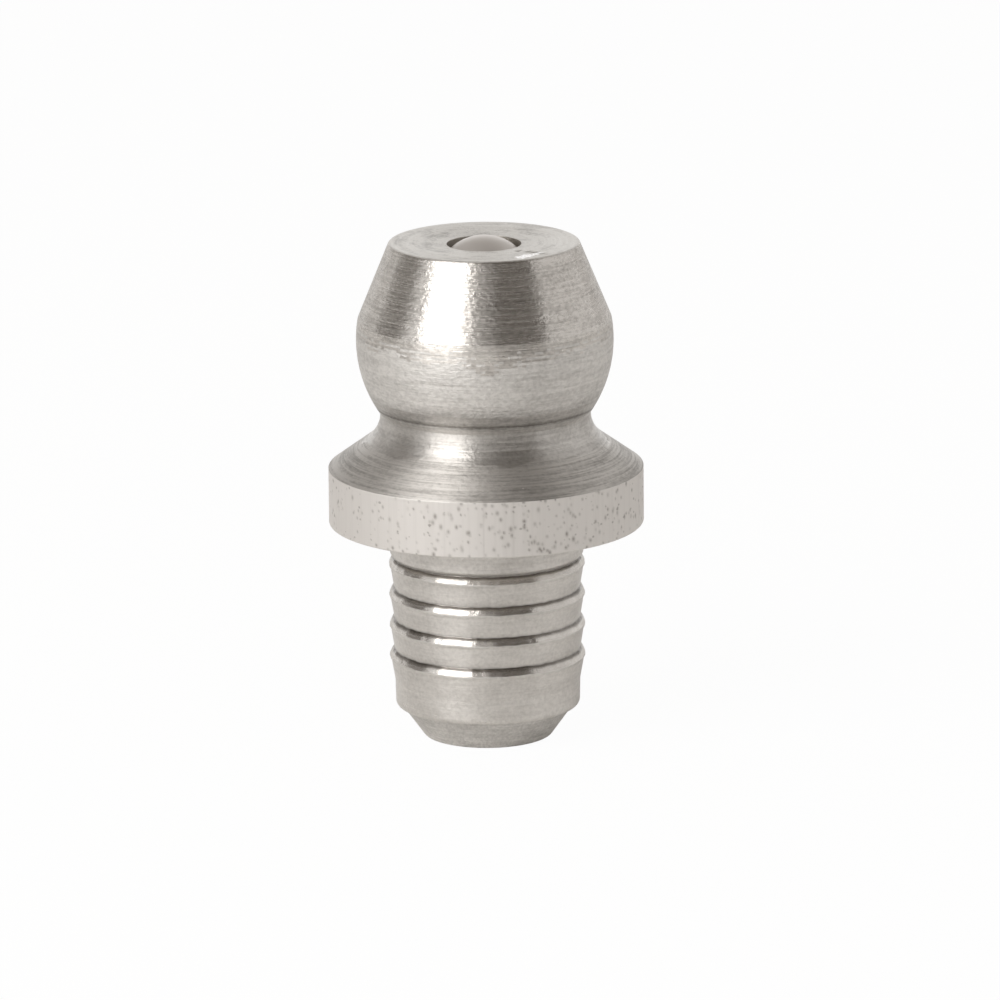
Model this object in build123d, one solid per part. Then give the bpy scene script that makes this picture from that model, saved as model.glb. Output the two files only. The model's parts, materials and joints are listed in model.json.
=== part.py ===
from build123d import *
import os
from math import cos, radians, sin, sqrt, tan

# Drive-in grease nipple with a ball check. Its body is turned from stainless bar and pressed into a
# plain hole. A steel ball closes the hole in its top face, held up by a coil spring that the
# rolled-in end of the shank keeps in.
# Millimetres and degrees. The axis is Z, +Z points towards the head that the grease gun grips, and
# the origin is on the axis in the plane of the collar's underside, which seats on the host.

# Collar, as wide as the bar it is turned from, and the flare above it
collar_r = 4.0
collar_height = 1.43
flare_half_angle = 54.3
neck_r = 2.665
neck_blend = 0.85

# Head: a ball-shaped body with a steep cone on top, which leads the coupler's jaws over it
head_r = 3.26
head_centre_z = 4.73
head_top_z = 7.24
top_face_r = 2.41
head_cone_half_angle = 22.3

# Shank: a plain stretch, then barbs that let it in and not out, then a pilot
plain_r = 2.46
plain_end_z = -0.80
crest_r = 2.49
root_r = 2.37
barb_count = 4
first_crest_z = -1.08
barb_pitch = 0.80
crest_land = 0.04
flank_height = 0.185
shoulder_r = 2.435
shoulder_height = 0.12
lip_r = 2.455
lip_drop = 0.10
pilot_start_z = -4.10
pilot_end_z = -4.80
pilot_r = 2.36
pilot_taper = 0.015

# Nose, rolled inwards over the spring
nose_root_r = 2.18
nose_end_r = 1.62
nose_end_z = -5.58
nose_half_angle = 34.0
lip_opening_r = 0.95

# Bore: an orifice in the top face, a coined conical seat, and a long drilled hole
orifice_r = 0.94
seat_half_angle = 40.0
bore_r = 1.45
bore_end_z = -4.75

# Check ball and spring
ball_r = 1.25
ball_depth = 1.10
seat_gap = 0.01
spring_wire_r = 0.15
spring_r = 1.10
spring_turns = 15
spring_gap = 0.01

# Small rounds left by the tool's nose and by deburring
top_edge_round = 0.09
collar_edge_round = 0.05
under_collar_round = 0.10
pilot_end_round = 0.12
nose_end_round = 0.12

# The ball touches its seat where the seat's cone is tangent to it, less a running gap
ball_z = head_top_z - ball_depth
touch_r = (ball_r + seat_gap) * cos(radians(seat_half_angle))
touch_z = ball_z + (ball_r + seat_gap) * sin(radians(seat_half_angle))
seat_slope = tan(radians(seat_half_angle))
seat_top_z = touch_z + (touch_r - orifice_r) / seat_slope
seat_foot_z = seat_top_z - (bore_r - orifice_r) / seat_slope

# The spring stands in the rolled-in end and reaches up to the ball
lip_slope = tan(radians(nose_half_angle))
lip_top_z = bore_end_z - (bore_r - lip_opening_r) / lip_slope
spring_outer_r = spring_r + spring_wire_r
spring_foot_z = bore_end_z - (bore_r - spring_outer_r) / lip_slope + spring_gap
reach = ball_r + spring_wire_r + spring_gap
spring_head_z = ball_z - sqrt(reach**2 - spring_r**2)


def barb_points():
    """The barbs' outline from the top down: a flank in two slopes out to each crest, whose lip drops to
    a land that tapers in to the next root."""
    points = []
    for i in range(barb_count):
        crest_z = first_crest_z - i * barb_pitch
        points.append((root_r, crest_z + flank_height))
        points.append((shoulder_r, crest_z + shoulder_height))
        points.append((crest_r, crest_z))
        points.append((crest_r, crest_z - crest_land))
        points.append((lip_r, crest_z - lip_drop))
    return points


def head_cone_foot():
    """Where the head's cone runs out on its ball shape: the lower crossing of the line and the circle."""
    rise = tan(radians(head_cone_half_angle))
    above = head_top_z - head_centre_z
    # (top_face_r + rise * depth)^2 + (above - depth)^2 = head_r^2, with depth counted from the top face
    square = 1 + rise**2
    half_linear = top_face_r * rise - above
    constant = top_face_r**2 + above**2 - head_r**2
    depth = (sqrt(half_linear**2 - square * constant) - half_linear) / square
    return (top_face_r + rise * depth, head_top_z - depth)


def make_body():
    """The body's half section turned about Z."""
    cone_foot = head_cone_foot()
    neck_top_z = head_centre_z - sqrt(head_r**2 - neck_r**2)
    neck_foot_z = collar_height + (collar_r - neck_r) / tan(radians(flare_half_angle))
    below_head = [
        (neck_r, neck_top_z),
        (neck_r, neck_foot_z),
        (collar_r, collar_height),
        (collar_r, 0),
        (plain_r, 0),
        (plain_r, plain_end_z),
        *barb_points(),
        (pilot_r, pilot_start_z),
        (pilot_r - pilot_taper, pilot_end_z),
        (nose_root_r, pilot_end_z),
        (nose_end_r, nose_end_z),
        (lip_opening_r, nose_end_z),
        (lip_opening_r, lip_top_z),
        (bore_r, bore_end_z),
        (bore_r, seat_foot_z),
        (orifice_r, seat_top_z),
        (orifice_r, head_top_z),
        (top_face_r, head_top_z),
        cone_foot,
    ]
    rounds = [
        ((top_face_r, head_top_z), top_edge_round),
        ((neck_r, neck_foot_z), neck_blend),
        ((collar_r, collar_height), collar_edge_round),
        ((collar_r, 0), collar_edge_round),
        ((plain_r, 0), under_collar_round),
        ((pilot_r - pilot_taper, pilot_end_z), pilot_end_round),
        ((nose_end_r, nose_end_z), nose_end_round),
    ]
    with BuildPart() as body:
        with BuildSketch(Plane.XZ) as section:
            with BuildLine():
                Polyline(*below_head)
                ThreePointArc(cone_foot, (head_r, head_centre_z), (neck_r, neck_top_z))
            make_face()
            for (r, z), radius in rounds:
                fillet(section.vertices().sort_by_distance((r, z, 0))[0], radius)
        revolve(axis=Axis.Z)
    return body.part


def make_ball():
    """The check ball at rest on its seat."""
    return Pos(0, 0, ball_z) * Sphere(ball_r)


def make_spring():
    """A coil spring with both ends ground flat."""
    low, high = spring_foot_z + spring_wire_r, spring_head_z
    path = Helix((high - low) / spring_turns, high - low, spring_r, center=(0, 0, low))
    wire = Plane(origin=path @ 0, z_dir=path % 0) * Circle(spring_wire_r)
    coil = sweep(wire, path=path, is_frenet=True)
    length = spring_head_z - spring_foot_z
    ends_cut = Pos(0, 0, spring_foot_z) * Cylinder(
        spring_outer_r + spring_wire_r, length + spring_wire_r, align=(Align.CENTER, Align.CENTER, Align.MIN)
    )
    return coil & ends_cut


os.makedirs("parts", exist_ok=True)
export_step(make_body(), "parts/nipple_body.step")
export_step(make_ball(), "parts/check_ball.step")
export_step(make_spring(), "parts/check_spring.step")
print("spring from", round(spring_foot_z, 3), "to", round(spring_head_z + spring_wire_r, 3))
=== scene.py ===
import json
import math

import bpy
import numpy as np
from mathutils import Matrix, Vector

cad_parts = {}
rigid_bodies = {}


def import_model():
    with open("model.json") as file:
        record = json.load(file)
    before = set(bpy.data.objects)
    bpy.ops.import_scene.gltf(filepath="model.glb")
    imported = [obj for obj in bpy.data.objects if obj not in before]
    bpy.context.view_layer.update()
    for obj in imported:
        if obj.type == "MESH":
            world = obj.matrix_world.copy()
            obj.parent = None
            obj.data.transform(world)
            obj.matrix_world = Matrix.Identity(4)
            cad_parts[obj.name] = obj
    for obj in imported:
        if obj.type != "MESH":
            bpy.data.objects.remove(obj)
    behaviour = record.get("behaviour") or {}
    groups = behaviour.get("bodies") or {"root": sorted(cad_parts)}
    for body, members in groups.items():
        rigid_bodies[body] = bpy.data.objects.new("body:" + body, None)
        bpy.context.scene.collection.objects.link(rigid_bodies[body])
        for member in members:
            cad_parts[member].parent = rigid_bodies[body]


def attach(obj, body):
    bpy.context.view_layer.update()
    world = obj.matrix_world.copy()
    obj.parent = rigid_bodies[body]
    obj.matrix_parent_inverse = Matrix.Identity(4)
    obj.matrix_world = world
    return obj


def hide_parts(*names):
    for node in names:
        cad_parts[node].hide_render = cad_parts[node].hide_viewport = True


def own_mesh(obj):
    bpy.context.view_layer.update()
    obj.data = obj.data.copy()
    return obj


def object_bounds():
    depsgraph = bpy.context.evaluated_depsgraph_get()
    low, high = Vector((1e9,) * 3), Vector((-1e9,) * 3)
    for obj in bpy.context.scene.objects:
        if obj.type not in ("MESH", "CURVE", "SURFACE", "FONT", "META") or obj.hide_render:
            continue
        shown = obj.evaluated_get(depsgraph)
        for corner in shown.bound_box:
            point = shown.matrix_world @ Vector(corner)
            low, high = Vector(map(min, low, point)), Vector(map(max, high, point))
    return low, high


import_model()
cadLow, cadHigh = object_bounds()

# A drive-in grease nipple in stainless steel. Sizes are in mm, and mm turns them into metres.
# The axis is Z and the collar's underside is at z = 0.
mm = 0.001


def linear(hexColour, alpha=1.0):
    # sRGB to linear: a straight toe below 0.04045, and a 2.4 power above it
    parts = [int(hexColour[i:i + 2], 16) / 255 for i in (1, 3, 5)]
    return [c / 12.92 if c <= 0.04045 else ((c + 0.055) / 1.055) ** 2.4 for c in parts] + [alpha]


def smoothStep(x):
    # 0 below 0, 1 above 1, and 3x^2 - 2x^3 between
    x = np.clip(x, 0, 1)
    return x * x * (3 - 2 * x)


bodyShape = dict(
    topZ=7.24, faceR=2.41, faceRound=0.09, coneAngle=22.3,     # flat top face and the steep cone below it
    headR=3.26, headZ=4.73, coneFootRound=0.25,                 # ball-shaped head
    lowHeadZ=3.36, creaseZ=3.05, creaseDepth=0.014, creaseHalf=0.018,   # a tool line marks its lower end
    neckR=2.665, neckTopRound=0.06, neckBlend=0.85, flareAngle=54.3, collarR=4.0, collarZ=1.43,
    plainR=2.46, plainEndZ=-0.80, crestR=2.49, rootR=2.37,      # shank
    barbs=4, firstCrestZ=-1.08, barbPitch=0.80, crestLand=0.04,
    flankHeight=0.185, shoulderHeight=0.12, shoulderR=2.435, lipDrop=0.10, landR=2.455,
    pilotTopZ=-4.10, pilotEndZ=-4.80, pilotR=2.36, pilotEndR=2.345,
    noseRootR=2.18, noseEndR=1.62, noseEndZ=-5.58,
    lipR=0.95, boreR=1.45, boreEndZ=-4.75, lipAngle=34.0,
    orificeR=0.94, seatAngle=40.0, seatTopZ=6.98,
    dishR=1.85, dishDepth=0.05,                 # the top face is dished a little towards its hole
    headSteps=34, lowHeadSteps=5, neckSteps=4,  # points along each part of the head's arc
    segments=176, collarShare=4,                # the collar has four times the segments, for its pits
    finest=0.024, arcStep=13.0,                 # smallest step beside a round, and degrees a step in one
)


def cornersOf(s):
    # The half section as corners (radius, height, round, zone of the stretch that follows), from the
    # orifice's upper edge outwards, down, and back up the bore. The head's ball shape is an arc, already
    # divided; the cone meets it where (faceR + rise * depth)^2 + (above - depth)^2 = headR^2.
    rise = math.tan(math.radians(s["coneAngle"]))
    above = s["topZ"] - s["headZ"]
    halfLinear = s["faceR"] * rise - above
    square = 1 + rise ** 2
    constant = s["faceR"] ** 2 + above ** 2 - s["headR"] ** 2
    depth = (math.sqrt(halfLinear ** 2 - square * constant) - halfLinear) / square
    footR, footZ = s["faceR"] + rise * depth, s["topZ"] - depth
    stops = [math.asin((z - s["headZ"]) / s["headR"]) for z in (s["lowHeadZ"], s["creaseZ"])]
    stops = [math.atan2(footZ - s["headZ"], footR), *stops, -math.acos(s["neckR"] / s["headR"])]
    lip = s["creaseHalf"] / s["headR"]
    arcs = [(stops[0], stops[1], s["headSteps"], "head"),
            (stops[1], stops[2] + lip, s["lowHeadSteps"], "lowHead"),
            (stops[2] - lip, stops[3], s["neckSteps"], "neck")]
    head = [[s["headR"] * math.cos(a), s["headZ"] + s["headR"] * math.sin(a), 0, zone]
            for start, end, n, zone in arcs for a in np.linspace(start, end, n)]
    shared = s["headSteps"] - 1                 # the arcs share the point where the low head starts
    del head[shared]
    deep = s["headR"] - s["creaseDepth"]
    bottom = [deep * math.cos(stops[2]), s["headZ"] + deep * math.sin(stops[2]), 0, "neck"]
    head.insert(shared + s["lowHeadSteps"], bottom)
    head[0][2], head[-1][2] = s["coneFootRound"], s["neckTopRound"]
    neckFootZ = s["collarZ"] + (s["collarR"] - s["neckR"]) / math.tan(math.radians(s["flareAngle"]))
    barbs = []
    for i in range(s["barbs"]):
        crestZ = s["firstCrestZ"] - i * s["barbPitch"]
        barbs += [[s["rootR"], crestZ + s["flankHeight"], 0.03, "flank"],
                  [s["shoulderR"], crestZ + s["shoulderHeight"], 0.15, "flank"],
                  [s["crestR"], crestZ, 0.015, "land"],
                  [s["crestR"], crestZ - s["crestLand"], 0.03, "land"],
                  [s["landR"], crestZ - s["lipDrop"], 0.1, "land"]]
    seatFootZ = s["seatTopZ"] - (s["boreR"] - s["orificeR"]) / math.tan(math.radians(s["seatAngle"]))
    lipTopZ = s["boreEndZ"] - (s["boreR"] - s["lipR"]) / math.tan(math.radians(s["lipAngle"]))
    return [
        [s["orificeR"], s["topZ"] - s["dishDepth"], 0.02, "face"],
        [s["dishR"], s["topZ"], 0.5, "face"],
        [s["faceR"], s["topZ"], s["faceRound"], "cone"],
        *head,
        [s["neckR"], neckFootZ, s["neckBlend"], "flare"],
        [s["collarR"], s["collarZ"], 0.035, "collar"],
        [s["collarR"], 0, 0.04, "underside"],
        [s["plainR"], 0, 0.10, "plain"],
        [s["plainR"], s["plainEndZ"], 0.05, "plain"],
        *barbs,
        [s["pilotR"], s["pilotTopZ"], 0.3, "pilot"],
        [s["pilotEndR"], s["pilotEndZ"], 0.13, "nose"],
        [s["noseRootR"], s["pilotEndZ"], 0.02, "nose"],
        [s["noseEndR"], s["noseEndZ"], 0.12, "nose"],
        [s["lipR"], s["noseEndZ"], 0.03, "bore"],
        [s["lipR"], lipTopZ, 0.05, "bore"],
        [s["boreR"], s["boreEndZ"], 0.1, "bore"],
        [s["boreR"], seatFootZ, 0.05, "bore"],
        [s["orificeR"], s["seatTopZ"], 0.02, "bore"],
    ]


def roundedOutline(corners, arcStep):
    # Each corner becomes an arc tangent to its two sides: its centre lies on the corner's bisector, and
    # it starts round / tan(half the corner's angle) along each side.
    points, zones = [], []
    spots = np.array([c[:2] for c in corners], float)
    for i, (r, z, radius, zone) in enumerate(corners):
        here, before, after = spots[i], spots[i - 1], spots[(i + 1) % len(spots)]
        if radius == 0:
            points.append(here)
            zones.append(zone)
            continue
        a = (before - here) / np.linalg.norm(before - here)
        b = (after - here) / np.linalg.norm(after - here)
        half = math.acos(np.clip(a @ b, -1, 1)) / 2
        centre = here + (a + b) / np.linalg.norm(a + b) * radius / math.sin(half)
        start, end = here + a * radius / math.tan(half), here + b * radius / math.tan(half)
        turn = math.pi - 2 * half
        t = np.linspace(0, 1, max(2, round(math.degrees(turn) / arcStep) + 1))[:, None]
        ring = np.sin((1 - t) * turn) * (start - centre) + np.sin(t * turn) * (end - centre)
        points += list(centre + ring / math.sin(turn))
        zones += [corners[i - 1][3]] * (len(t) // 2) + [zone] * (len(t) - len(t) // 2)
    return np.array(points), zones


def gradedOutline(points, zones, finest, widest):
    # Long sides are divided into steps that double from both ends up to the zone's widest, so that
    # smooth shading stays flat on them
    newPoints, newZones = [], []
    for i, zone in enumerate(zones):
        a, b = points[i], points[(i + 1) % len(points)]
        length = np.linalg.norm(b - a)
        marks, step = [0.0], max(finest, widest[zone] / 12)
        while length > 4 * finest and marks[-1] + step < length / 2:
            marks.append(marks[-1] + step)
            step = min(step * 2, widest[zone])
        rest = max(1, round((length - 2 * marks[-1]) / widest[zone])) if len(marks) > 1 else 1
        middle = np.linspace(marks[-1], length - marks[-1], rest + 1)[1:] if len(marks) > 1 else []
        tail = [length - m for m in marks[1:-1][::-1]]
        marks = [*marks, *middle, *tail]
        newPoints += [a + (b - a) * m / length for m in marks]
        newZones += [zone] * len(marks)
    return np.array(newPoints), newZones


def addPiece(name, points, faces, materials, faceMaterial=None, values=None):
    # A mesh object at the origin from whole arrays: points (n, 3) in mm, a list of face arrays, each
    # face's material number, and values kept as attributes of the points
    mesh = bpy.data.meshes.new(name)
    sizes = np.concatenate([np.full(len(f), f.shape[1]) for f in faces])
    corners = np.concatenate([f.ravel() for f in faces])
    mesh.vertices.add(len(points))
    mesh.vertices.foreach_set("co", (points * mm).astype(np.float32).ravel())
    mesh.loops.add(len(corners))
    mesh.loops.foreach_set("vertex_index", corners.astype(np.int32))
    mesh.polygons.add(len(sizes))
    starts = np.concatenate([[0], np.cumsum(sizes)[:-1]])
    mesh.polygons.foreach_set("loop_start", starts.astype(np.int32))
    if faceMaterial is not None:
        mesh.polygons.foreach_set("material_index", faceMaterial.astype(np.int32))
    for key, data in (values or {}).items():
        kind, field = ("FLOAT_VECTOR", "vector") if data.ndim == 2 else ("FLOAT", "value")
        attribute = mesh.attributes.new(key, kind, "POINT")
        attribute.data.foreach_set(field, data.astype(np.float32).ravel())
    mesh.update(calc_edges=True)
    mesh.validate()
    mesh.shade_smooth()
    for material in materials:
        mesh.materials.append(material)
    piece = bpy.data.objects.new(name, mesh)
    bpy.context.scene.collection.objects.link(piece)
    return piece


def ringStrip(lower, upper, lowerCount, upperCount):
    # Faces between two rings, given by their first vertex. Equal rings make quads. A ring with k times
    # the segments of the other makes a fan of triangles at each of the other's vertices.
    if lowerCount == upperCount:
        i = np.arange(lowerCount)
        j = (i + 1) % lowerCount
        return np.stack([lower + i, upper + i, upper + j, lower + j], 1)
    coarse, fine, flip = (lower, upper, False) if lowerCount < upperCount else (upper, lower, True)
    few, many = sorted((lowerCount, upperCount))
    share = many // few
    i = np.arange(few)
    j = (i + 1) % few
    triangles = []
    for k in range(share):
        owner = i if k < share / 2 else j
        here, after = fine + i * share + k, fine + (i * share + k + 1) % many
        triangles.append(np.stack([coarse + owner, here, after], 1))
    middle = math.ceil(share / 2)
    triangles.append(np.stack([coarse + i, fine + i * share + middle, coarse + j], 1))
    faces = np.concatenate(triangles)
    return faces[:, ::-1] if flip else faces


def newMaterial(name):
    material = bpy.data.materials.new(name)
    material.use_nodes = True
    tree = material.node_tree
    tree.nodes.clear()
    return material, tree


def addNode(tree, kind, settings=None, **links):
    # One node: settings are its own properties, or inputs where the key is an input's name or number;
    # links give an input a value, or another node's output as (node, "output name")
    node = tree.nodes.new("ShaderNode" + kind)
    for key, value in (settings or {}).items():
        if isinstance(key, str) and hasattr(node, key):
            setattr(node, key, value)
        else:
            node.inputs[key].default_value = value
    for key, (source, output) in links.items():
        spot = int(key[1:]) if key[0] == "i" and key[1:].isdigit() else key.replace("_", " ")
        tree.links.new(source.outputs[output], node.inputs[spot])
    return node


def streaks(tree, feed, length, pitch, detail=3.0, rough=0.6):
    # Noise drawn out along the turning direction: length mm round the piece, pitch mm along its outline
    scale = (1 / length, 1 / length, 1 / pitch)
    scaled = addNode(tree, "Mapping", {"Scale": scale}, Vector=(feed, "Vector"))
    return addNode(tree, "TexNoise", {"Scale": 1.0, "Detail": detail, "Roughness": rough},
                   Vector=(scaled, "Vector"))


def mixHeights(tree, parts):
    # The sum of each part's height times its noise, in thousandths of a mm
    total = None
    for amount, noise, output in parts:
        links = dict(i0=(noise, output))
        if total:
            links["i2"] = (total, "Value")
        total = addNode(tree, "Math", {"operation": "MULTIPLY_ADD", 1: amount, 2: 0.0}, **links)
    return total


def spots(tree, feed, cell, size, share):
    # Scattered round spots: one in each cell of a grid of that many mm, kept in a share of the cells,
    # with its own size. 1 at a spot's middle and 0 outside it.
    scaled = addNode(tree, "Mapping", {"Scale": (1 / cell, 1 / cell, 1 / cell)}, Vector=(feed, "Vector"))
    cells = addNode(tree, "TexVoronoi", {"Scale": 1.0}, Vector=(scaled, "Vector"))
    luck = addNode(tree, "SeparateXYZ", None, Vector=(cells, "Color"))
    reach = addNode(tree, "MapRange", {"From Min": 1 - share, "To Max": size / cell}, Value=(luck, "X"))
    inside = addNode(tree, "Math", {"operation": "SUBTRACT"}, i0=(reach, "Result"), i1=(cells, "Distance"))
    return addNode(tree, "MapRange", {"From Max": 0.45 * size / cell}, Value=(inside, "Value"))


def spread(tree, noise, amount, middle=0.0):
    # Noise stretched to run from amount below the middle to amount above it
    return addNode(tree, "MapRange", {"From Min": 0.3, "From Max": 0.7, "To Min": middle - amount,
                   "To Max": middle + amount}, Value=(noise, "Fac"))


def addUp(tree, a, b, clamped=False):
    return addNode(tree, "Math", {"operation": "ADD", "use_clamp": clamped}, i0=a, i1=b)


def microBump(tree, height, output="Value", distance=0.001):
    # A bump of that many mm for each unit of height
    return addNode(tree, "Bump", {"Strength": 1.0, "Distance": distance * mm}, Height=(height, output))


# Stainless steel as the machine left it, by zone. rough is for shine 0 and shine 1. The reliefs are in
# thousandths of a mm: streaks are single tool rings, rings are bands of them, and mottle has no
# direction. cloud, grain and lined are how far the metal's tone wanders with broad patches, with the
# mottle and with the tool rings, and wander is how far its roughness does. specks is how far its
# scattered chips are painted near-white, partly bright fresh metal and partly painted glints.
# the dark tone is mixed in for painted shade as well as for dirt; the chip tone is partly painted glints
tones = dict(shadeAndDirt="#4C463F", chipGlint="#FFFCF8", usualDirt=0.10)
finishes = dict(
    # burnished by a sharp tool: lamps show in it as upright bands with ragged sides
    burnished=dict(name="stainless_burnished", colour="#D3CEC8",
                   rough=(0.50, 0.27), wander=0.07, grooved=0.95, specks=0.5,
                   streaks=11.0, rings=9.5, mottle=10.0, cloud=0.10, grain=0.20, lined=0.12),
    # the barbs' flanks, cut by a form tool: brighter and smoother
    formed=dict(name="stainless_form_turned", colour="#D7D2CC",
                rough=(0.40, 0.24), wander=0.04, grooved=0.90, specks=0.0,
                streaks=2.5, rings=3.0, mottle=5.0, cloud=0.06, grain=0.05, lined=0.04),
    # plain turned: fine rings spread a reflection along the axis and keep it narrow round it
    turned=dict(name="stainless_turned_satin", colour="#D4D0CB",
                rough=(0.50, 0.36), wander=0.05, grooved=0.96, specks=0.8,
                streaks=8.0, rings=9.0, mottle=7.5, cloud=0.10, grain=0.12, lined=0.10),
    # turned with a coarser feed: rings that show one by one
    ringed=dict(name="stainless_coarse_turned", colour="#D5D1CC",
                rough=(0.64, 0.50), wander=0.05, grooved=0.78, specks=0.8,
                streaks=12.0, rings=26.0, mottle=10.0, cloud=0.12, grain=0.12, lined=0.24),
    # the shank's lands: turned, then dulled a little by handling
    shank=dict(name="stainless_turned_dull", colour="#DAD6D1",
               rough=(0.42, 0.30), wander=0.04, grooved=0.86, specks=0.3,
               streaks=7.0, rings=7.0, mottle=7.0, cloud=0.07, grain=0.09, lined=0.05),
    # tumbled after turning: dull and even, with a fine mottle over faint rings
    tumbled=dict(name="stainless_tumbled", colour="#DDDAD6",
                 rough=(0.60, 0.40), wander=0.04, grooved=0.38, specks=0.0,
                 streaks=13.0, rings=14.0, mottle=19.0, cloud=0.09, grain=0.12, lined=0.06),
    # scraped by a knock: fresh flat metal, brighter than the dull skin round it, and painted near-white in
    # part as a painted highlight
    freshAndHighlight=dict(name="stainless_fresh_scrape_highlight", colour="#F3F1EE",
               rough=(0.26, 0.20), wander=0.04, grooved=0.0, specks=0.0,
               streaks=8.0, rings=8.0, mottle=20.0, cloud=0.02, grain=0.08, lined=0.02),
    # the top face: faced off, then knocked about
    faced=dict(name="stainless_faced", colour="#DBD8D3",
               rough=(0.60, 0.42), wander=0.04, grooved=0.35, specks=0.0,
               streaks=12.0, rings=22.0, mottle=26.0, cloud=0.27, grain=0.12, lined=0.04),
)


def turnedStainless(look):
    material, tree = newMaterial(look["name"])
    feed = addNode(tree, "Attribute", {"attribute_name": "feed"})
    shine = addNode(tree, "Attribute", {"attribute_name": "shine"})
    shade = addNode(tree, "Attribute", {"attribute_name": "shade"})
    fine = streaks(tree, feed, 1.8, 0.06)
    rings = streaks(tree, feed, 5.0, 0.17, 2.0)
    mottle = streaks(tree, feed, 0.12, 0.08, 2.0)
    cloud = streaks(tree, feed, 1.2, 0.30, 3.0)
    # roughness runs from satin to bright with shine, and wanders with the rings
    satin, bright = look["rough"]
    rough = addNode(tree, "MapRange", {"To Min": satin, "To Max": bright}, Value=(shine, "Fac"))
    wander = spread(tree, fine, look["wander"])
    roughness = addUp(tree, (rough, "Result"), (wander, "Result"), True)
    # colour: clean steel with faint clouds and grain, darkened by the shade attribute, which holds painted
    # shade as well as dirt, and lighter at chips, partly painted glints
    clouded = spread(tree, cloud, look["cloud"], tones["usualDirt"])
    grained, lined = spread(tree, mottle, look["grain"]), spread(tree, fine, look["lined"])
    uneven = addUp(tree, (clouded, "Result"), (grained, "Result"))
    uneven = addUp(tree, (uneven, "Value"), (lined, "Result"))
    dark = addUp(tree, (shade, "Fac"), (uneven, "Value"), True)
    tone = addNode(tree, "MixRGB", {"Color1": linear(look["colour"]), "Color2": linear(tones["shadeAndDirt"])},
                   Fac=(dark, "Value"))
    # chips painted near-white: partly bright fresh metal, partly painted glints where small dents catch the
    # lamp
    if look["specks"]:
        glintChips = spots(tree, feed, 0.5, 0.045, 0.5)
        lit = addNode(tree, "Math", {"operation": "MULTIPLY", 1: look["specks"]}, i0=(glintChips, "Result"))
        tone = addNode(tree, "MixRGB", {"Color2": linear(tones["chipGlint"])}, Fac=(lit, "Value"),
                       Color1=(tone, "Color"))
    height = mixHeights(tree, [(look["streaks"], fine, "Fac"), (look["rings"], rings, "Fac"),
                               (look["mottle"], mottle, "Fac")])
    bump = microBump(tree, height)
    around = addNode(tree, "Tangent", {"direction_type": "RADIAL", "axis": "Z"})
    shader = addNode(tree, "BsdfPrincipled", {"Metallic": 1.0, "Anisotropic": look["grooved"],
                     "Anisotropic Rotation": 0.25}, Base_Color=(tone, "Color"),
                     Roughness=(roughness, "Value"), Normal=(bump, "Normal"), Tangent=(around, "Tangent"))
    addNode(tree, "OutputMaterial", Surface=(shader, "BSDF"))
    return material


def drawnStainless():
    # Stainless bar as drawn: dull and even, with faint lines along the bar and small dark pits
    material, tree = newMaterial("stainless_as_drawn")
    feed = addNode(tree, "Attribute", {"attribute_name": "feed"})
    pit = addNode(tree, "Attribute", {"attribute_name": "pit"})
    grain = streaks(tree, feed, 0.06, 0.06, 3.0)
    drawLines = streaks(tree, feed, 0.10, 5.0, 3.0)
    pinholes = spots(tree, feed, 0.14, 0.045, 0.5)
    pits = addNode(tree, "Math", {"operation": "MULTIPLY_ADD", 1: 0.45, "use_clamp": True},
                   i0=(pinholes, "Result"), i2=(pit, "Fac"))
    lines = addNode(tree, "MapRange", {"From Min": 0.4, "From Max": 0.75, "To Min": -0.02, "To Max": 0.07},
                    Value=(drawLines, "Fac"))
    dark = addUp(tree, (pits, "Value"), (lines, "Result"), True)
    tone = addNode(tree, "MixRGB", {"Color1": linear("#DCD8D4"), "Color2": linear("#7C756E")},
                   Fac=(dark, "Value"))
    height = mixHeights(tree, [(2.0, grain, "Fac"), (1.5, drawLines, "Fac"), (-4.0, pinholes, "Result")])
    bump = microBump(tree, height)
    shader = addNode(tree, "BsdfPrincipled", {"Metallic": 1.0, "Roughness": 0.6},
                     Base_Color=(tone, "Color"), Normal=(bump, "Normal"))
    addNode(tree, "OutputMaterial", Surface=(shader, "BSDF"))
    return material


def drilledStainless():
    # The drilled bore: coarser rings than the outside, and dull
    material, tree = newMaterial("stainless_drilled")
    feed = addNode(tree, "Attribute", {"attribute_name": "feed"})
    rings = streaks(tree, feed, 2.0, 0.06)
    height = mixHeights(tree, [(6.0, rings, "Fac")])
    bump = microBump(tree, height)
    around = addNode(tree, "Tangent", {"direction_type": "RADIAL", "axis": "Z"})
    shader = addNode(tree, "BsdfPrincipled", {"Metallic": 1.0, "Roughness": 0.5, "Anisotropic": 0.7,
                     "Anisotropic Rotation": 0.25, "Base Color": linear("#A8A29A")},
                     Normal=(bump, "Normal"), Tangent=(around, "Tangent"))
    addNode(tree, "OutputMaterial", Surface=(shader, "BSDF"))
    return material


def groundBallSteel():
    # Bearing-ball steel, ground and lapped: an even soft gloss with faint scuffs in every direction
    material, tree = newMaterial("steel_lapped_ball")
    place = addNode(tree, "TexCoord")
    scuffs = addNode(tree, "TexNoise", {"Scale": 1 / (0.05 * mm), "Detail": 3.0}, Vector=(place, "Object"))
    rough = addNode(tree, "MapRange", {"To Min": 0.34, "To Max": 0.50}, Value=(scuffs, "Fac"))
    bump = microBump(tree, scuffs, "Fac", 0.002)
    shader = addNode(tree, "BsdfPrincipled", {"Metallic": 1.0, "Base Color": linear("#DAD5D0")},
                     Roughness=(rough, "Result"), Normal=(bump, "Normal"))
    addNode(tree, "OutputMaterial", Surface=(shader, "BSDF"))
    return material


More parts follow.
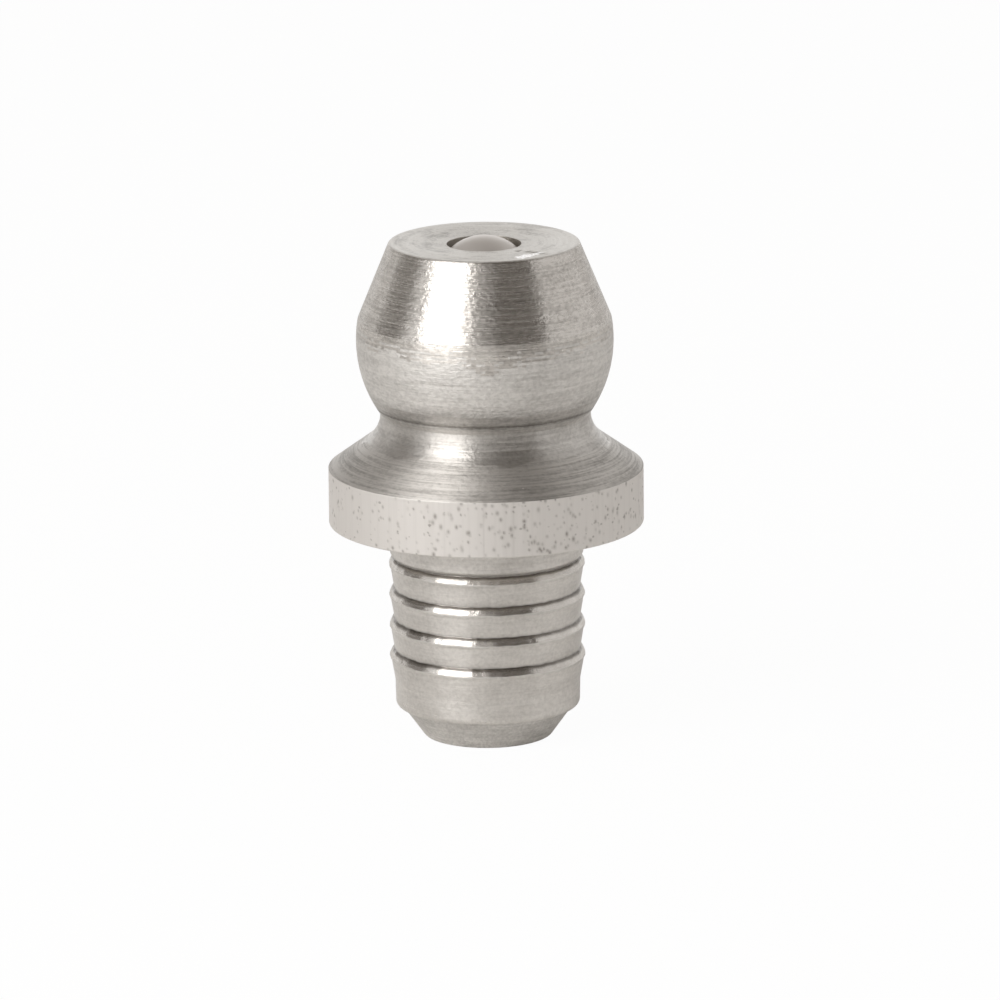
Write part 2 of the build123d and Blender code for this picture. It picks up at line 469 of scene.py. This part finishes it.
def drawnWire():
    # Stainless spring wire: drawn smooth, with hair lines along the wire
    material, tree = newMaterial("stainless_spring_wire")
    wire = addNode(tree, "Attribute", {"attribute_name": "feed"})
    lines = streaks(tree, wire, 0.03, 3.0)
    rough = addNode(tree, "MapRange", {"To Min": 0.22, "To Max": 0.40}, Value=(lines, "Fac"))
    bump = microBump(tree, lines, "Fac", 0.0005)
    shader = addNode(tree, "BsdfPrincipled", {"Metallic": 1.0, "Base Color": linear("#C2BCB4")},
                     Roughness=(rough, "Result"), Normal=(bump, "Normal"))
    addNode(tree, "OutputMaterial", Surface=(shader, "BSDF"))
    return material


bodyFinish = dict(
    slots=["burnished", "formed", "turned", "ringed", "shank", "tumbled", "faced", "freshAndHighlight", "drawn",
           "drilled"],                          # the last two have materials of their own
    zones=dict(face="faced", cone="burnished", head="tumbled", lowHead="turned", neck="turned",
               flare="turned", collar="drawn", underside="shank", plain="shank", flank="formed",
               land="shank", pilot="shank", nose="tumbled", bore="drilled"),
    shine=dict(face=1.0, cone=1.0, head=0.2, lowHead=0.9, neck=0.5, flare=0.6, collar=0, underside=0.1,
               plain=0.3, flank=1.0, land=0.5, pilot=0.95, nose=0.2, bore=0),
    # the nose, which faces down to the floor, gets painted shade; the top face loses the usual darkening
    shade=dict(face=-0.1, nose=0.14),
    # shine spills over the cone's foot: how far everywhere, how much further as (mm, angle, half angle),
    # and how it fades in streaks of that pitch. wave and ripple are how ragged its edge is.
    spill=dict(reach=0.06, further=[(0.22, 0.02, 0.34), (0.15, 0.03, 0.13)], fade=0.34, pitch=0.105,
               faintest=0.35, wave=0.06, ripple=0.03),
    # painted shade up the neck, as (height, shade) pairs: darkest in the tool line, which holds oily dirt
    # too
    waist=[(1.5, 0.0), (2.66, 0.0), (2.86, 0.10), (2.98, 0.14), (3.02, 0.34), (3.05, 0.62), (3.08, 0.46),
           (3.14, 0.30), (3.36, 0.20), (3.6, 0.05), (3.9, 0.0)],
    rootShadeAndDirt=0.74, rootShadeAndDirtHalf=0.040, rootShadeAndDirtDrop=0.020,      # painted shade and dirt in the barbs' roots
    # dark patches on the top face, the first painted shade on the dish's far side: (angle round it, radius,
    # reach round, reach across, shade)
    faceDarkPatches=[(-1.75, 1.50, 0.55, 0.20, 0.24), (2.44, 1.58, 0.16, 0.14, 0.20), (2.9, 2.0, 0.5, 0.2, 0.10)],
    # a knock on the top face: a ragged row of dents, given painted shade, and burrs, and a scraped streak
    # beside it, partly a painted highlight. Lines are (start, end) in the face's plane, with the camera's
    # side at -y
    knock=dict(line=((0.80, -0.98), (1.62, -1.60)), half=0.085, dent=0.05, burr=0.02, dentShade=0.24,
               scrape=((0.80, -1.98), (1.42, -1.34)), scrapeHalf=0.13),
    waver=0.006,                                # the barbs' crests wander by this much
    flareSatin=2.15, satinWander=0.9,           # below this height the flare's rings are coarser
    flareShine=[(-0.35, 0.3), (0, 0.8), (0.02, 0.4), (0.4, 0.9)],   # (height over that line, shine) pairs
    feedR=3.0,                                  # the tool-ring pattern is wrapped round this radius
    # the longest step along the outline, by zone
    widest=dict(face=0.05, cone=0.25, head=0.3, lowHead=0.1, neck=0.1, flare=0.12, collar=0.034,
                underside=0.3, plain=0.2, flank=0.05, land=0.12, pilot=0.2, nose=0.15, bore=1.0),
    # pits in the collar, a share of them in one patch: (angle, half angle, share)
    pits=500, pitSize=(0.014, 0.040), pitDepth=0.009, pitPatch=(0.05, 0.45, 0.28),
    # lines that the drawing die left along the collar: (angle, half width, depth as a share of a pit's)
    dieLines=[(-0.02, 0.012, 0.20), (-0.27, 0.020, 0.07), (0.17, 0.016, 0.08), (1.3, 0.02, 0.10),
              (2.9, 0.015, 0.12)],
)


def ragged(angle, phases, low, high):
    # A closed wavy line round the piece: a sum of cosines of whole numbers of waves
    waves = np.arange(low, low + len(phases) * high, high)
    return sum(np.cos(w * angle + p) for w, p in zip(waves, phases)) / math.sqrt(len(phases))


def somePhases(rng, shape):
    return rng.uniform(0, 6.3, shape)


def angleFrom(angle, start):
    # The turn from start to angle, between half a turn back and half a turn on
    return (angle - start + math.pi) % (2 * math.pi) - math.pi


def stroke(x, y, start, end):
    # Where points lie by a straight stroke: the share of its length they are along it, and how far aside
    dx, dy = end[0] - start[0], end[1] - start[1]
    length = math.hypot(dx, dy)
    return (((x - start[0]) * dx + (y - start[1]) * dy) / length ** 2,
            ((y - start[1]) * dx - (x - start[0]) * dy) / length)


def makeBody(s, finish):
    rng = np.random.default_rng(11)
    points, zones = roundedOutline(cornersOf(s), s["arcStep"])
    points, zones = gradedOutline(points, zones, s["finest"], finish["widest"])
    steps = np.linalg.norm(np.diff(points, axis=0, append=points[:1]), axis=1)
    along = np.concatenate([[0], np.cumsum(steps)[:-1]])
    zones = np.array(zones)
    onCollar = zones == "collar"
    counts = np.where(onCollar, s["segments"] * s["collarShare"], s["segments"])
    firsts = np.concatenate([[0], np.cumsum(counts)[:-1]])

    # rings of points, each turned about the axis
    angle = np.concatenate([np.arange(n) * 2 * math.pi / n for n in counts])
    row = np.repeat(np.arange(len(points)), counts)
    radius, height = points[row, 0], points[row, 1]
    feed = np.stack([finish["feedR"] * np.cos(angle), finish["feedR"] * np.sin(angle), along[row]], 1)

    # shine by zone, spilling in broken streaks from the cone on to the head, most of all at the front.
    # The streaks are a cosine of the way past the cone's foot.
    shine = np.array([finish["shine"][z] for z in zones])[row]
    past = along[row] - along[zones == "head"][0]
    signed = angleFrom(angle, 0)
    spill = finish["spill"]
    slowWander = spill["wave"] * ragged(angle, somePhases(rng, 6), 2, 3)
    wander = slowWander + spill["ripple"] * ragged(angle, somePhases(rng, 9), 20, 9)
    reach = spill["reach"] + wander
    for more, at, half in spill["further"]:
        reach = reach + more * np.exp(-((signed - at) / half) ** 2)
    lines = 0.5 + 0.5 * np.cos(2 * math.pi * (past + 0.4 * wander) / spill["pitch"] + 1.0)
    streaked = smoothStep(1.45 - (past - reach) / spill["fade"])
    streaked = streaked * (spill["faintest"] + (1 - spill["faintest"]) * lines)
    streaked = np.where(past < reach, 1.0, streaked)
    onHead = np.isin(zones, ["cone", "head"])[row]
    shine = np.where(onHead, np.maximum(shine, streaked), shine)

    # shade: the painted shade up the waist, read off its pairs, then the painted shade and dirt in the
    # barbs' roots and the face's dark patches, each a bell curve
    waist = np.array(finish["waist"])
    outside = np.isin(zones, ["head", "lowHead", "neck", "flare"])[row]
    shade = np.array([finish["shade"].get(z, 0.0) for z in zones])[row]
    shade = np.where(outside, np.interp(height, waist[:, 0], waist[:, 1]), shade)
    barbed = np.isin(zones, ["flank", "land"])[row]
    barb = np.clip(np.round((s["firstCrestZ"] - height) / s["barbPitch"]), 0, s["barbs"] - 1)
    rootZ = s["firstCrestZ"] - barb * s["barbPitch"] + s["flankHeight"]
    # painted shade and dirt in a line along each barb's root
    fromRootShade = height - (rootZ - finish["rootShadeAndDirtDrop"])
    shadeAndDirt = finish["rootShadeAndDirt"] * np.exp(-(fromRootShade / finish["rootShadeAndDirtHalf"]) ** 2)
    shade = np.where(barbed | (zones == "plain")[row], shade + shadeAndDirt, shade)
    onFace = (zones == "face")[row]
    # dark patches on the face: the first is painted shade on the dish's far side
    for at, r, reachRound, reachAcross, amount in finish["faceDarkPatches"]:
        away = (angleFrom(signed, at) / reachRound) ** 2 + ((radius - r) / reachAcross) ** 2
        shade = shade + onFace * amount * np.exp(-away)

    # the knock on the top face: dents and burrs take turns along its line
    knock = finish["knock"]
    faceX, faceY = radius * np.sin(angle), -radius * np.cos(angle)
    share, aside = stroke(faceX, faceY, *knock["line"])
    dents = np.clip(0.25 + 0.6 * ragged(2 * math.pi * share, somePhases(rng, 6), 2, 1), 0, 1)
    run = smoothStep(share / 0.08) * smoothStep((1 - share) / 0.08)
    run = run * np.exp(-(aside / knock["half"]) ** 2) * onFace
    height = height + run * (knock["burr"] * (1 - dents) - knock["dent"] * dents)
    # the dents are darkened with painted shade
    shade = shade + run * knock["dentShade"] * dents
    # the scraped streak beside it, partly a painted highlight, narrows along its length, with ragged sides
    share, aside = stroke(faceX, faceY, *knock["scrape"])
    edge = 1 - 0.45 * share + 0.30 * ragged(2 * math.pi * share, somePhases(rng, 4), 2, 3)
    scrapedHighlight = (np.abs(share - 0.5) < 0.5) & (np.abs(aside) < knock["scrapeHalf"] * edge)

    # the barbs' crests aren't quite true
    offTrue = [ragged(angle + 1.7 * barb, phases, 3, 5) for phases in somePhases(rng, (2, 9))]
    radius = radius + barbed * finish["waver"] * 0.7 * offTrue[0]
    height = height + barbed * finish["waver"] * offTrue[1]

    # the flare's shine drops at the line where the coarser rings start, and fades towards the collar
    onFlare = (zones == "flare")[row]
    satinLine = finish["flareSatin"] + finish["satinWander"] * slowWander
    bright = np.interp(height - satinLine, *zip(*finish["flareShine"]))
    shine = np.where(onFlare, bright, shine)

    # pits in the collar's rim: small dents, longer along the axis, each a bell curve in depth
    pit = np.zeros(len(radius))
    rim = onCollar[row]
    n = finish["pits"]
    patchAt, patchHalf, patchShare = finish["pitPatch"]
    places = np.where(rng.random(n) < patchShare, rng.normal(patchAt, patchHalf, n),
                      rng.uniform(-math.pi, math.pi, n))
    for spot, z, size, stretch, depth in zip(places, rng.uniform(0.03, s["collarZ"], n),
                                             rng.uniform(*finish["pitSize"], n), rng.uniform(1.0, 1.7, n),
                                             rng.uniform(0.15, 0.85, n)):
        across = angleFrom(angle[rim], spot) * s["collarR"]
        bell = np.exp(-(across / size) ** 2 - ((height[rim] - z) / (size * stretch)) ** 2)
        pit[rim] = np.maximum(pit[rim], depth * bell)
    for at, half, depth in finish["dieLines"]:
        pit[rim] = np.maximum(pit[rim], depth * np.exp(-((signed[rim] - at) * s["collarR"] / half) ** 2))
    radius = radius - finish["pitDepth"] * pit

    turned = np.stack([radius * np.sin(angle), -radius * np.cos(angle), height], 1)
    nextRow = np.roll(np.arange(len(points)), -1)
    strips = [ringStrip(firsts[i], firsts[j], counts[i], counts[j]) for i, j in enumerate(nextRow)]

    # each face has its zone's metal, apart from three places
    slot = finish["slots"].index
    lengths = [len(f) for f in strips]
    firstPoint = np.concatenate([f[:, 0] for f in strips])
    faceZone = np.repeat(zones, lengths)
    faceSlot = np.repeat([slot(finish["zones"][z]) for z in zones], lengths)
    stillBright = (faceZone == "head") & (shine[firstPoint] > 0.5)
    faceSlot = np.where(stillBright, slot("burnished"), faceSlot)
    coarse = onFlare[firstPoint] & (height[firstPoint] < satinLine[firstPoint])
    faceSlot = np.where(coarse, slot("ringed"), faceSlot)
    faceSlot = np.where(scrapedHighlight[firstPoint] & (faceZone == "face"), slot("freshAndHighlight"), faceSlot)
    metals = [turnedStainless(finishes[key]) for key in finish["slots"][:-2]]
    metals += [drawnStainless(), drilledStainless()]
    piece = addPiece("nipple_body_turned", turned, strips, metals, faceSlot,
                     dict(feed=feed, shine=shine, shade=shade, pit=pit))
    print("body:", len(points), "rings,", sum(len(f) * (f.shape[1] - 2) for f in strips), "triangles")
    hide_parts("nipple_body")
    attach(piece, "nipple")
    return piece


ballShape = dict(radius=1.25, depth=1.10, rings=96, segments=160)


def makeBall(s):
    # A sphere: radius times (cos u sin v, sin u sin v, cos v), with one vertex at each pole
    u = np.arange(s["segments"]) * 2 * math.pi / s["segments"]
    v = np.linspace(0, math.pi, s["rings"] + 1)[1:-1]
    centreZ = bodyShape["topZ"] - s["depth"]
    grid = np.stack([np.sin(v)[:, None] * np.cos(u), np.sin(v)[:, None] * np.sin(u),
                     np.repeat(np.cos(v)[:, None], len(u), 1)], 2).reshape(-1, 3)
    places = np.concatenate([grid, [[0, 0, 1], [0, 0, -1]]]) * s["radius"] + [0, 0, centreZ]
    n, rows = s["segments"], s["rings"] - 1
    strips = [ringStrip(k * n, (k + 1) * n, n, n) for k in range(rows - 1)]
    i = np.arange(n)
    top = np.stack([np.full(n, n * rows), i, (i + 1) % n], 1)
    last = (rows - 1) * n
    bottom = np.stack([np.full(n, n * rows + 1), last + (i + 1) % n, last + i], 1)
    piece = addPiece("check_ball_lapped", places, [*strips, top, bottom], [groundBallSteel()])
    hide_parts("check_ball")
    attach(piece, "ball")
    return piece


springShape = dict(
    coilR=1.10, wireR=0.15, turns=16, closedTurns=1.1, closedPitch=0.31,
    opensOver=0.7, groundIn=0.05,               # turns from closed to open, and mm ground off each end
    footZ=-5.035, topZ=5.40, stepsPerTurn=40, wireSides=18, solidTravel=5.5, endSlack=0.05,
)


def makeSpring(s):
    # A wire on a helix, (r cos u, r sin u, z), whose rise per turn grows smoothly from the closed end
    # coils to the open ones between them. Both ends are ground flat.
    n = int(s["turns"] * s["stepsPerTurn"]) + 1
    turn = np.linspace(0, s["turns"], n)
    fromEnd = np.minimum(turn, s["turns"] - turn)
    opening = smoothStep((fromEnd - s["closedTurns"] + s["opensOver"] / 2) / s["opensOver"])
    low, high = s["footZ"] + s["groundIn"], s["topZ"] - s["groundIn"]
    closedRise = s["closedPitch"] / s["stepsPerTurn"]
    weight = opening[1:]
    openRise = (high - low - closedRise * (n - 1 - weight.sum())) / weight.sum()
    centreZ = low + np.concatenate([[0], np.cumsum(closedRise * (1 - weight) + openRise * weight)])
    u = turn * 2 * math.pi
    around = np.arange(s["wireSides"]) * 2 * math.pi / s["wireSides"]
    out, up = s["wireR"] * np.cos(around), s["wireR"] * np.sin(around)
    r = s["coilR"] + out[None, :]
    wireZ = np.clip(centreZ[:, None] + up[None, :], s["footZ"], s["topZ"])
    places = np.stack([r * np.cos(u)[:, None], r * np.sin(u)[:, None], wireZ], 2)
    k = s["wireSides"]
    strips = [ringStrip(0, k, k, k)[:, ::-1] + i * k for i in range(n - 1)]
    caps = [np.arange(k)[None, :], (np.arange(k)[::-1] + (n - 1) * k)[None, :]]
    feed = np.stack(np.broadcast_arrays(out[None, :], up[None, :], (u * s["coilR"])[:, None]), 2)
    piece = addPiece("check_spring_coiled", places.reshape(-1, 3), [*strips, *caps], [drawnWire()],
                     values=dict(feed=feed.reshape(-1, 3)))
    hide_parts("check_spring")
    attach(piece, "nipple")
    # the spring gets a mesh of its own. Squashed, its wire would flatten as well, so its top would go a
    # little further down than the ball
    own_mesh(piece)
    return piece


# Azimuths are in degrees from the camera's side, lengths in mm
studio = dict(
    elevation=13.84, distance=229.3, lens=325.0, roll=-0.53, targetZ=0.778, shift=(0.0138, -0.0099),
    softbox=dict(azimuth=-43.3, elevation=35, distance=150, width=107, height=90, radiance=4.5),
    cards=[dict(azimuth=33.5, elevation=41.5, distance=150, width=137, height=197, radiance=0.135),
           dict(azimuth=-73, elevation=24, distance=152, width=42, height=110, radiance=1.0),
           dict(azimuth=-102, elevation=26, distance=150, width=97, height=91, radiance=0.17),
           dict(azimuth=-142, elevation=30, distance=156, width=100, height=130, radiance=0.50),
           dict(azimuth=96, elevation=24, distance=155, width=150, height=110, radiance=0.78),
           dict(azimuth=144, elevation=24, distance=156, width=100, height=110, radiance=0.60)],
    sky=[(-1.0, 0.9), (0.25, 1.0), (0.48, 0.64), (0.72, 0.42), (1.0, 0.35)],   # (sine of height, radiance)
    front=0.85, back=1.2,                       # the room is dimmer on the camera's side and bright behind
    floorHalf=3000, floorGlow=0.96,             # the share of the floor that glows white in the camera's eye
)


def warmGrey(level):
    # walls and cards are a warm grey: the darker, the warmer
    return [level, level ** 1.05, level ** 1.1, 1] if level < 1 else [level, level, level, 1]


def facing(azimuth, elevation, distance):
    # A place round the nipple's middle and the turn that points it there. Azimuth 0 is on the camera's side.
    a, e = math.radians(azimuth), math.radians(elevation)
    place = np.array([math.sin(a) * math.cos(e), -math.cos(a) * math.cos(e), math.sin(e)]) * distance * mm
    return place, (math.pi / 2 - e, 0, a)


def addSheet(name, halfX, halfY, z, material):
    mesh = bpy.data.meshes.new(name)
    mesh.from_pydata([(-halfX, -halfY, z), (halfX, -halfY, z), (halfX, halfY, z), (-halfX, halfY, z)],
                     [], [(0, 1, 2, 3)])
    mesh.materials.append(material)
    sheet = bpy.data.objects.new(name, mesh)
    bpy.context.scene.collection.objects.link(sheet)
    return sheet


def makeFloor(s):
    # Lit paper, with enough glow of its own in the camera's eye to read as white
    material, tree = newMaterial("white_paper_sweep")
    paper = addNode(tree, "BsdfDiffuse", {"Color": linear("#F4F3F1")})
    glow = addNode(tree, "Emission", {"Color": (1, 1, 1, 1), "Strength": 1.0})
    path = addNode(tree, "LightPath")
    share = addNode(tree, "Math", {"operation": "MULTIPLY", 1: s["floorGlow"]}, i0=(path, "Is Camera Ray"))
    both = addNode(tree, "MixShader", None, Fac=(share, "Value"), i1=(paper, "BSDF"), i2=(glow, "Emission"))
    addNode(tree, "OutputMaterial", Surface=(both, "Shader"))
    floor = addSheet("floor", s["floorHalf"] * mm, s["floorHalf"] * mm, cadLow.z, material)


def makeLights(s):
    box = s["softbox"]
    lamp = bpy.data.lights.new("softbox", "AREA")
    lamp.shape, lamp.size, lamp.size_y = "RECTANGLE", box["width"] * mm, box["height"] * mm
    lamp.energy = box["radiance"] * math.pi * lamp.size * lamp.size_y
    lampObject = bpy.data.objects.new("softbox", lamp)
    place, turn = facing(box["azimuth"], box["elevation"], box["distance"])
    lampObject.location, lampObject.rotation_euler = place, turn
    bpy.context.scene.collection.objects.link(lampObject)
    for i, flag in enumerate(s["cards"]):
        # matt cards that only reflections see
        material, tree = newMaterial("matt_card")
        card = addNode(tree, "Emission", {"Color": warmGrey(flag["radiance"]), "Strength": 1.0})
        addNode(tree, "OutputMaterial", Surface=(card, "Emission"))
        sheet = addSheet(f"card_{i}", flag["width"] * mm / 2, flag["height"] * mm / 2, 0, material)
        sheet.location, sheet.rotation_euler = facing(flag["azimuth"], flag["elevation"], flag["distance"])
        sheet.visible_camera = sheet.visible_shadow = sheet.visible_diffuse = False


def makeSky(s):
    # Radiance by a direction's height: a white wall near the horizon, a dimmer ceiling
    world = bpy.data.worlds.new("studio")
    world.use_nodes = True
    tree = world.node_tree
    tree.nodes.clear()
    way = addNode(tree, "TexCoord")
    parts = addNode(tree, "SeparateXYZ", None, Vector=(way, "Generated"))
    place = addNode(tree, "MapRange", {"From Min": -1.0, "From Max": 1.0}, Value=(parts, "Z"))
    ramp = addNode(tree, "ValToRGB", None, Fac=(place, "Result"))
    stops = ramp.color_ramp.elements
    while len(stops) < len(s["sky"]):
        stops.new(0.5)
    for stop, (z, level) in zip(stops, s["sky"]):
        stop.position, stop.color = (z + 1) / 2, warmGrey(level)
    path = addNode(tree, "LightPath")
    depth = addNode(tree, "MapRange", {"From Min": -1.0, "To Min": s["front"], "To Max": s["back"]},
                    Value=(parts, "Y"))
    lit = addNode(tree, "MixRGB", {"blend_type": "MULTIPLY", "Fac": 1.0}, Color1=(ramp, "Color"),
                  Color2=(depth, "Result"))
    seen = addNode(tree, "MixRGB", {"Color2": (1, 1, 1, 1)}, Fac=(path, "Is Camera Ray"),
                   Color1=(lit, "Color"))
    back = addNode(tree, "Background", {"Strength": 1.0}, Color=(seen, "Color"))
    addNode(tree, "OutputWorld", Surface=(back, "Background"))
    bpy.context.scene.world = world


def makeCamera(s):
    camera = bpy.data.cameras.new("camera")
    camera.lens, camera.sensor_width = s["lens"], 36.0
    camera.shift_x, camera.shift_y = s["shift"]
    camera.clip_start, camera.clip_end = 0.001, 20.0
    cameraObject = bpy.data.objects.new("camera", camera)
    place, turn = facing(0, s["elevation"], s["distance"])
    cameraObject.location = place + np.array([0, 0, s["targetZ"] * mm])
    cameraObject.rotation_mode = "XYZ"
    cameraObject.rotation_euler = turn
    cameraObject.rotation_euler.rotate_axis("Z", math.radians(s["roll"]))
    bpy.context.scene.collection.objects.link(cameraObject)
    bpy.context.scene.camera = cameraObject


makeBody(bodyShape, bodyFinish)
print("body done")
makeBall(ballShape)
print("ball done")
makeSpring(springShape)
print("spring done")
makeFloor(studio)
makeLights(studio)
makeSky(studio)
makeCamera(studio)
bpy.context.scene.view_settings.view_transform = "Standard"
print("studio done")
